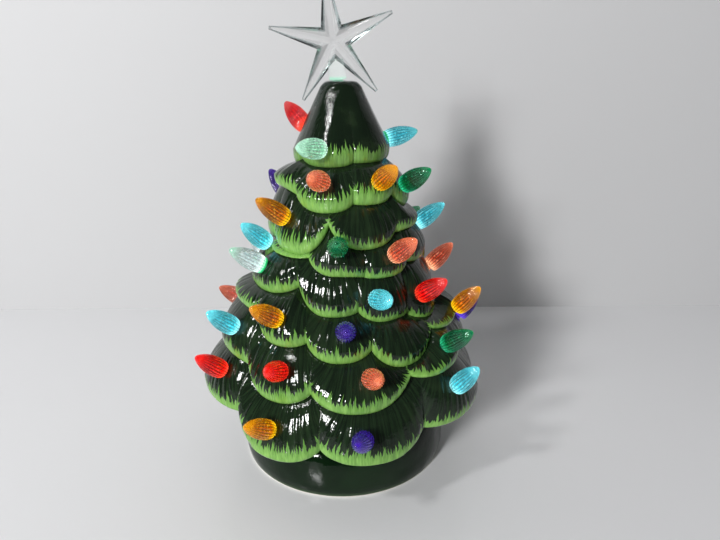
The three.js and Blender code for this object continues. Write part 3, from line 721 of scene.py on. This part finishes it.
def bulb_material(colour):
    g = Graph("bulb_" + colour)
    base = BULB_COLOURS[colour] + (1,)
    place = g.object_place()
    along = g.value_of("along")
    valley = g.value_of("valley")
    pale = colour in ("clear", "mint")
    depth = 0.5 if pale else 0.3 if colour == "aqua" else 0.14
    deep = tuple(c * depth for c in base[:3]) + (1,)
    light = tuple(0.8 * c + 0.2 * r for c, r in zip(base[:3], BULB_PAINTED_LIGHT[colour])) + (1,)
    tint = g.mix(g.step(g.noise(place, 330.0, 3.0), 0.3, 0.7), base, light)
    # painted light: the thick end is painted in a brighter colour where light would gather, and bright
    # painted glints are scattered over the body; the tip shows less of the flutes and the sparks
    rim = g.times(g.step(along, 0.26, 0.0), g.step(along, -0.04, 0.0))
    low = g.plus(0.2, g.times(g.step(along, 0.95, 0.4), 0.8))
    sparks = g.noise(place, 800.0, 1.0, 0.5)
    painted_glints = g.times(g.times(g.step(sparks, 0.60, 0.68), low), 0.6)
    painted_gathered_light = g.math("MAXIMUM", rim, painted_glints)
    tint = g.mix(g.times(painted_gathered_light, 0.9), tint, BULB_PAINTED_LIGHT[colour] + (1,))
    # painted shade: dark specks where the dark glaze would show through, and flute valleys painted
    # darker
    painted_dark_specks = g.times(g.times(g.step(sparks, 0.42, 0.34), low), 0.6)
    shade = g.times(g.step(valley, 0.1, 0.7), g.plus(0.5, g.times(low, 0.4)))
    shade = g.math("MAXIMUM", shade, painted_dark_specks)
    tint = g.mix(shade, tint, deep)
    # painted glow: the bulbs are no lamps, yet they glow in their tint, most at the thick end and at
    # the glints
    g.put(g.shader.inputs["Emission Color"], tint)
    glow = 0.04 if pale or colour in ("purple", "green") else 0.07
    g.put(g.shader.inputs["Emission Strength"], g.plus(glow, g.times(painted_gathered_light, 0.5)))
    waves = g.bump(g.noise(place, 420.0, 1.0), 0.0005, 0.6)
    normal = g.bump(g.noise(place, 1300.0, 2.0), 0.0001, 0.6, waves)
    return g.set(Base_Color=tint, Roughness=0.03, Transmission_Weight=0.9 if pale else 0.92,
                 IOR=1.49, Coat_Weight=0.2, Coat_Roughness=0.12, Normal=normal)


def axis_of(node):
    """Seat and direction of a bulb, from its solid: from the ring at its peg's end to its tip."""
    co = np.array([v.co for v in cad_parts[node].data.vertices], float)
    co = np.unique(np.round(co, 6), axis=0)
    far = np.linalg.norm(co - co.mean(0), axis=1)
    peg_end = co[far > far.max() - 0.3 * MM].mean(0)
    tip = co[np.argmax(np.linalg.norm(co - peg_end, axis=1))]
    axis = (tip - peg_end) / np.linalg.norm(tip - peg_end)
    return Vector(tip - axis * BULB_LENGTH * MM), Vector(axis)


# Bulbs that stand a little proud, so that the green collar under them shows
COLLARED = ("bulb_1c_aqua", "bulb_5b_clear")
COLLAR_RADIUS = 4.9
COLLAR_HOLE = PEG_RADIUS * 1.1


def build_bulbs():
    meshes = {}
    # the green collars glow a little: a painted glow
    collar_material = clear_plastic("collar_green", (0.05, 0.80, 0.30), 0.3, 0.2, glow=0.12)
    for name in sorted(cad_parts):
        if not name.startswith("bulb_"):
            continue
        colour = name.split("_")[-1]
        if colour not in meshes:
            meshes[colour] = bulb_mesh("flame_" + colour)
            meshes[colour].materials.append(bulb_material(colour))
        seat, axis = axis_of(name)
        turn = Vector((0, 0, 1)).rotation_difference(axis).to_matrix().to_4x4()
        mesh = meshes[colour].copy()
        mesh.transform(Matrix.Translation(seat) @ turn)
        obj = bpy.data.objects.new("lit_" + name, mesh)
        bpy.context.scene.collection.objects.link(obj)
        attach(obj, "tree")
        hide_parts(name)
        if name in COLLARED:
            profile = softened([(COLLAR_HOLE, -0.7), (COLLAR_RADIUS - 0.3, -0.7), (COLLAR_RADIUS, 0.3),
                                (COLLAR_RADIUS - 0.6, 0.9), (COLLAR_HOLE, 0.0)], 0.2, closed=True)
            collar = turned("collar_" + name, profile, 64, collar_material, closed=True)
            collar.data.transform(Matrix.Translation(seat) @ turn)
            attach(collar, "tree")
            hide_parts(name)


# Star

STAR_RISE = 20.2
STAR_REACH = 35.0
STAR_WAIST = 9.5
STAR_LEAN = 6.8
STAR_RIDGE = 5.0
STAR_EDGE = 1.1
STAR_TIP = 0.9
STAR_INSET = 0.3
RIM_TIP = 1.0
RIM_WAIST = 3.4
RIM_HALF = 0.45
RIM_RISE = 1.6
STAR_BEVEL = 0.12
STEM_RADIUS = 4.8
STAR_PEG_RADIUS = 3.0
STAR_PEG_LENGTH = 12.0
GAP = 0.3


def star_outline(inset_tip, inset_waist, half_tip, depth):
    """Corners of the star at a depth from its middle plane: each arm has two at its blunt tip and
    shares the one at its waist."""
    corners = []
    for arm in range(5):
        a = math.radians(90 + arm * 72)
        waist = a + math.radians(36)
        for side in (-half_tip, half_tip):
            reach = STAR_REACH - STAR_INSET - inset_tip
            corners.append((reach * math.cos(a) - side * math.sin(a), depth,
                            reach * math.sin(a) + side * math.cos(a)))
        inner = STAR_WAIST - inset_waist
        corners.append((inner * math.cos(waist), depth, inner * math.sin(waist)))
    return corners


def build_star(clear, side, frosted):
    # from the back to the front: middle, drawn-in outline, edge, edge, drawn-in outline, middle
    rim = STAR_EDGE + RIM_RISE
    rows = [star_outline(RIM_TIP, RIM_WAIST, RIM_HALF, rim),
            star_outline(0, 0, STAR_TIP, STAR_EDGE),
            star_outline(0, 0, STAR_TIP, -STAR_EDGE),
            star_outline(RIM_TIP, RIM_WAIST, RIM_HALF, -STAR_EDGE - RIM_RISE)]
    count = len(rows[0])
    corners = [(0, STAR_RIDGE, 0)] + [c for row in rows for c in row] + [(0, -STAR_RIDGE, 0)]
    faces, rims = [], []
    for i in range(count):
        n = (i + 1) % count
        faces.append((0, 1 + i, 1 + n))
        faces.append((1 + 3 * count + i, 1 + 3 * count + n, 1 + 4 * count))
        rims += [0, 0]
        for row in range(3):
            first, second = 1 + row * count, 1 + (row + 1) * count
            faces.append((first + i, first + n, second + n, second + i))
            rims.append(int(row != 1))
    lean = Matrix.Rotation(-math.radians(STAR_LEAN), 3, "Y")
    foot = Vector((STAR_OFFSET, 0, CAP_HEIGHT))
    up = Vector((0, 0, STAR_RISE))
    placed = [tuple(lean @ (Vector(v) + up) + foot) for v in corners]
    star = new_object("clear_star", placed, faces, clear, smooth=False)
    # the sloping facets along the edges take the second material, their painted shade
    star.data.materials.append(side)
    for i, polygon in enumerate(star.data.polygons):
        polygon.material_index = rims[i]
    bm = bmesh.new()
    bm.from_mesh(star.data)
    bmesh.ops.recalc_face_normals(bm, faces=bm.faces)
    bmesh.ops.bevel(bm, geom=bm.edges[:], offset=STAR_BEVEL * MM, segments=2, profile=0.6,
                    affect="EDGES", clamp_overlap=True)
    bm.to_mesh(star.data)
    bm.free()
    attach(star, "star")
    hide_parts("star_topper")
    top = STAR_RISE - STAR_WAIST * 0.95
    profile = softened([(0, GAP * 2), (STEM_RADIUS * 0.96, GAP * 2), (STEM_RADIUS, GAP + 2.0),
                        (STEM_RADIUS * 0.96, top), (0, top)], 0.5)
    stem = turned("star_stem", profile, 64, frosted)
    stem.data.transform(lean.to_4x4())
    stem.data.transform(Matrix.Translation(foot * MM))
    peg_end = GAP - STAR_PEG_LENGTH
    profile = softened([(0, peg_end), (STAR_PEG_RADIUS, peg_end), (STAR_PEG_RADIUS, GAP * 2),
                        (0, GAP * 2)], 0.5)
    peg = turned("star_peg", profile, 48, frosted)
    peg.data.transform(Matrix.Translation(foot * MM))
    for piece in (stem, peg):
        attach(piece, "star")
        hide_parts("star_topper")


# Base

FOOT_RADIUS = 64.0
FOOT_WIDTH = 4.5
BASE_HEIGHT = 30.0
BASE_BULGE = 0.8
SPIGOT_HEIGHT = 5.0
MOUTH_RADIUS = 36.0
PLATE_LIFT = 3.0
PLATE_THICKNESS = 2.5
PLATE_TOP = PLATE_LIFT + PLATE_THICKNESS
SPIGOT_SIDES = 24


def build_base(mat):
    foot_inner = FOOT_RADIUS - FOOT_WIDTH
    side = []
    for i in range(25):
        a = math.radians(i / 24 * 90)
        side.append((SEAT_RADIUS + (FOOT_RADIUS + BASE_BULGE - SEAT_RADIUS) * math.cos(a),
                     BASE_HEIGHT * (0.18 + 0.82 * math.sin(a))))
    spigot = TREE_MOUTH * math.cos(math.pi / SPIGOT_SIDES) - GAP
    top = BASE_HEIGHT - WALL
    outer = [(foot_inner + 0.6, 0), (FOOT_RADIUS - 0.7, 0), (FOOT_RADIUS - 0.15, 0.35),
             (FOOT_RADIUS + 0.1, 1.2)] + side
    inner = softened([(spigot, BASE_HEIGHT), (spigot, BASE_HEIGHT + SPIGOT_HEIGHT),
                      (spigot - WALL, BASE_HEIGHT + SPIGOT_HEIGHT), (MOUTH_RADIUS, BASE_HEIGHT),
                      (MOUTH_RADIUS, top), (SEAT_RADIUS - WALL, top),
                      (foot_inner - WALL, BASE_HEIGHT / 3), (foot_inner - WALL, PLATE_TOP + GAP),
                      (foot_inner, PLATE_TOP + GAP), (foot_inner, 0.6)], 0.7)
    base = turned("glazed_base", outer + inner, 192, mat, closed=True, bare_from=len(outer) + 6)
    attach(base, "base")
    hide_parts("base_shell")


# Lamp and cells

LAMP_RADIUS = 18.0
LAMP_LIP = 2.4
BOARD_RADIUS = 15.65
LED_RADIUS = 4.0
DOME_RADIUS = 16.0
DOME_WALL = 1.6
CELL_CAP = 1.2
CELL_CAP_RADIUS = 2.75


def replace_turned(name, node, profile, sides, mat, place=None, closed=False):
    """A turned piece on the base that stands in for a solid."""
    obj = turned(name, profile, sides, mat, closed=closed)
    if place is not None:
        obj.data.transform(place)
    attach(obj, "base")
    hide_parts(node)
    return obj


def heights(node):
    """Lowest and highest point of a solid, in mm."""
    low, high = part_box(node)
    return low.z / MM, high.z / MM


def quarter(radius, top, step):
    """Points of a dome's profile, from its widest ring up to just short of the top."""
    angles = [math.radians(a) for a in range(0, 90, step)]
    return [(radius * math.cos(a), top - radius + radius * math.sin(a)) for a in angles]


def build_lamp(white, board, glowing, frosted):
    bottom, top = heights("lamp_post")
    inner = LAMP_RADIUS - 2
    profile = softened([(0, bottom), (LAMP_RADIUS, bottom), (LAMP_RADIUS, top), (inner, top),
                        (inner, top - LAMP_LIP), (0, top - LAMP_LIP)], 0.5)
    replace_turned("lamp_cup", "lamp_post", profile, 96, white)

    bottom, top = heights("led_board")
    profile = softened([(0, bottom), (BOARD_RADIUS, bottom), (BOARD_RADIUS, top), (0, top)], 0.25)
    replace_turned("lamp_board", "led_board", profile, 96, board)

    bottom, top = heights("led_lamp")
    profile = [(0, bottom), (LED_RADIUS - 0.2, bottom), (LED_RADIUS, bottom + 0.2)]
    profile += quarter(LED_RADIUS, top, 9) + [(0, top)]
    replace_turned("lamp_bead", "led_lamp", profile, 48, glowing)

    bottom, top = heights("lamp_diffuser")
    inner = DOME_RADIUS - DOME_WALL
    profile = [(inner + 0.3, bottom), (DOME_RADIUS - 0.3, bottom), (DOME_RADIUS, bottom + 0.3)]
    profile += quarter(DOME_RADIUS, top, 6) + [(0, top), (0, top - DOME_WALL)]
    profile += quarter(inner, top - DOME_WALL, 6)[::-1] + [(inner, bottom + 0.3)]
    replace_turned("frosted_dome", "lamp_diffuser", profile, 96, frosted,
                   closed=True)


def build_cells(wrap, steel):
    for i in range(3):
        node = f"battery_{i + 1}"
        lo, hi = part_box(node)
        centre = (lo + hi) / 2
        radius = (hi.y - lo.y) / 2 / MM
        length = (hi.x - lo.x) / MM
        way = 1 if i % 2 == 0 else -1
        can = length - CELL_CAP
        profile = softened([(0, 0), (radius - 0.4, 0), (radius, 0.6), (radius, can - 0.6),
                            (radius - 0.4, can), (CELL_CAP_RADIUS, can), (CELL_CAP_RADIUS, length),
                            (0, length)], 0.35)
        place = (Matrix.Translation(centre) @ Matrix.Rotation(way * math.pi / 2, 4, "Y")
                 @ Matrix.Translation((0, 0, -length / 2 * MM)))
        obj = replace_turned(f"cell_{i + 1}", node, profile, 64, wrap, place)
        obj.data.materials.append(steel)
        for polygon in obj.data.polygons:
            along = (Vector(polygon.center) - centre).x * way / MM + length / 2
            if along < 0.5 or along > can - 0.5:
                polygon.material_index = 1


# Dressing

tree_material = tree_glaze()
base_material = base_glaze()
star_material = clear_plastic("star_clear", (0.995, 1.0, 0.998), 1.0, 0.01, swirls=0.03)
# painted shade: the star's sloping side facets are a darker grey-green, standing for the dark room seen
# through them
painted_shade_sides = clear_plastic("star_sides_painted_shade", (0.42, 0.52, 0.51), 1.0, 0.02)
stem_material = stem_plastic()
tray = plastic("tray_black", (0.022, 0.022, 0.024), 0.48)
knob = plastic("switch_white", (0.72, 0.71, 0.67), 0.42)
white = plastic("lamp_white", (0.76, 0.75, 0.71), 0.4)
board = plastic("board_white", (0.66, 0.70, 0.66), 0.35)
frosted = clear_plastic("dome_frosted", (0.93, 0.92, 0.88), 0.55, 0.5)
glowing = clear_plastic("lamp_glow", (1.0, 0.86, 0.58), 0.3, 0.2, glow=1.0)
wrap = plastic("cell_wrap", (0.035, 0.05, 0.085), 0.3)
steel = metal("cell_steel", (0.66, 0.66, 0.65), 0.28)
spring = metal("contact_steel", (0.60, 0.60, 0.58), 0.3)
zinc = metal("screw_zinc", (0.62, 0.62, 0.60), 0.32)

tree = build_tree(tree_material)
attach(tree, "tree")
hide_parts("tree_shell")
build_bulbs()
build_star(star_material, painted_shade_sides, stem_material)
build_base(base_material)
build_lamp(white, board, glowing, frosted)
build_cells(wrap, steel)
for node, mat in (("base_plate", tray), ("battery_door", tray), ("door_screw", zinc),
                  ("switch_slider", knob), ("contact_left", spring), ("contact_right", spring)):
    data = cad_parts[node].data
    data.materials.clear()
    data.materials.append(mat)


# Room, light and camera, in metres and degrees

ROOM_HALF = 3.0
ROOM_HEIGHT = 3.0
WALL_LEFT = 0.26
WALL_RIGHT = 0.16
AIM = (0, 0, 0.12)
FOCAL = 582.0
PICTURE_WIDTH = 720.0
SENSOR_WIDTH = 36.0
EYE = (0, -0.33529, 0.23803)
EYE_DOWN = 19.907
EYE_TURN = -1.793


def pale(name, colour, roughness):
    """A pale surface that the camera looks through from behind, so every side can be seen."""
    g = Graph(name)
    place = g.object_place()
    slow = g.noise(place, 3.0, 2.0)
    fine = g.noise(place, 220.0, 3.0)
    tint = g.mix(slow, tuple(c * 0.96 for c in colour) + (1,), tuple(colour) + (1,))
    mat = g.set(Base_Color=tint, Roughness=roughness, Normal=g.bump(fine, 0.0002, 0.25),
                Specular_IOR_Level=0.3)
    behind = g.times(g.node("ShaderNodeNewGeometry").outputs["Backfacing"],
                     g.node("ShaderNodeLightPath").outputs["Is Camera Ray"])
    either = g.node("ShaderNodeMixShader")
    g.put(either.inputs[0], behind)
    g.links.new(g.shader.outputs[0], either.inputs[1])
    g.links.new(g.node("ShaderNodeBsdfTransparent").outputs[0], either.inputs[2])
    g.links.new(either.outputs[0], g.nodes["Material Output"].inputs["Surface"])
    return mat


def plane(name, corners, mat):
    obj = new_object(name, np.array(corners, float) / MM, [(0, 1, 2, 3)], mat, smooth=False)


left, right = (-ROOM_HALF, WALL_LEFT), (ROOM_HALF, WALL_RIGHT)
plane("table", [(-ROOM_HALF, -ROOM_HALF, 0), (ROOM_HALF, -ROOM_HALF, 0), right + (0,), left + (0,)],
      pale("table_pale", (0.80, 0.80, 0.81), 0.2))
plane("wall", [left + (0,), right + (0,), right + (ROOM_HEIGHT,), left + (ROOM_HEIGHT,)],
      pale("wall_pale", (0.58, 0.58, 0.585), 0.6))

scene = bpy.context.scene
world = bpy.data.worlds.new("room")
scene.world = world
world.use_nodes = True
background = world.node_tree.nodes["Background"]
background.inputs["Color"].default_value = (0.80, 0.83, 0.88, 1)
background.inputs["Strength"].default_value = 0.10


def area(name, azimuth, elevation, distance, size, power):
    """A soft lamp that faces the tree's middle."""
    lamp = bpy.data.lights.new(name, "AREA")
    lamp.shape = "RECTANGLE"
    lamp.size, lamp.size_y = size
    lamp.energy = power
    obj = bpy.data.objects.new(name, lamp)
    scene.collection.objects.link(obj)
    a, e = math.radians(azimuth), math.radians(elevation)
    aim = Vector(AIM)
    obj.location = aim + distance * Vector((math.sin(a) * math.cos(e), -math.cos(a) * math.cos(e),
                                            math.sin(e)))
    obj.rotation_euler = (aim - obj.location).to_track_quat("-Z", "Y").to_euler()


area("window", -31, 21, 2.0, (0.26, 0.40), 37.0)
area("sky", -52, 46, 1.4, (0.11, 0.17), 4.4)

camera = bpy.data.cameras.new("camera")
camera.sensor_width = SENSOR_WIDTH
camera.lens = FOCAL / PICTURE_WIDTH * SENSOR_WIDTH
camera.clip_start = 0.01
viewer = bpy.data.objects.new("camera", camera)
scene.collection.objects.link(viewer)
viewer.location = EYE
viewer.rotation_euler = (math.radians(90 - EYE_DOWN), 0, math.radians(EYE_TURN))
scene.camera = viewer
scene.view_settings.view_transform = "Standard"
